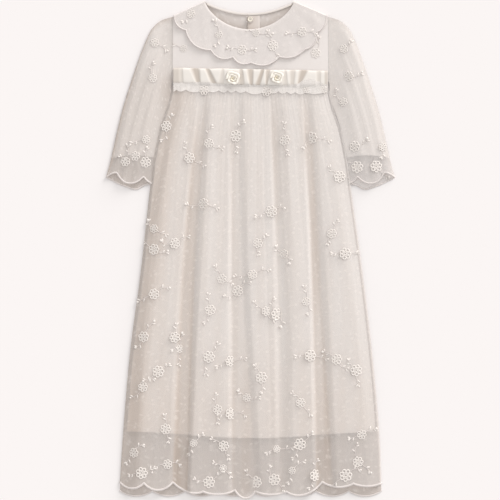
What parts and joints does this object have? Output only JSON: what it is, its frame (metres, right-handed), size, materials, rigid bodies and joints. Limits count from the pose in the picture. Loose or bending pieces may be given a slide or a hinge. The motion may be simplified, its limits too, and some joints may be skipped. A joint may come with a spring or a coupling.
{
  "type": "child's lace dress",
  "caption": "Ivory lace gown for a small child, laid flat: scalloped collar, ruched ribbon with rosettes, sheer scalloped sleeves and hem over a lining",
  "frame": {"origin": "middle of the gown's outline on the surface that it lies on", "axes": "+Y points from the hem to the neck, +X to the gown's right side as seen, +Z out of its front"},
  "size_m": [0.4738, 0.8158, 0.016],
  "materials": {
    "net": "fine cotton tulle with raised white embroidery, matte",
    "lining": "smooth ivory lining cloth with a soft sheen",
    "yoke_net": "tulle mounted on lining, matte",
    "collar_net": "two layers of embroidered tulle with a corded scalloped edge",
    "binding": "narrow bias binding, slightly glossy",
    "satin": "ivory satin ribbon, glossy along its ruches",
    "rose_satin": "coiled cream satin ribbon",
    "button": "small pearly shirt button",
    "thread": "twisted thread loop"
  },
  "bodies": {
    "root": {"skirt_front": "net", "skirt_back": "net", "lining_front": "lining", "lining_back": "lining", "yoke_front": "yoke_net", "yoke_back_left": "yoke_net", "yoke_back_right": "yoke_net", "placket": "lining", "neck_binding_left": "binding", "neck_binding_right": "binding", "collar": "collar_net", "sleeve_left": "net", "sleeve_right": "net", "sleeve_lining_left": "lining", "sleeve_lining_right": "lining", "ribbon_band": "satin", "rosette_left": "rose_satin", "rosette_right": "rose_satin", "waist_frill": "net", "button": "button", "button_loop": "thread"}
  },
  "joints": []
}
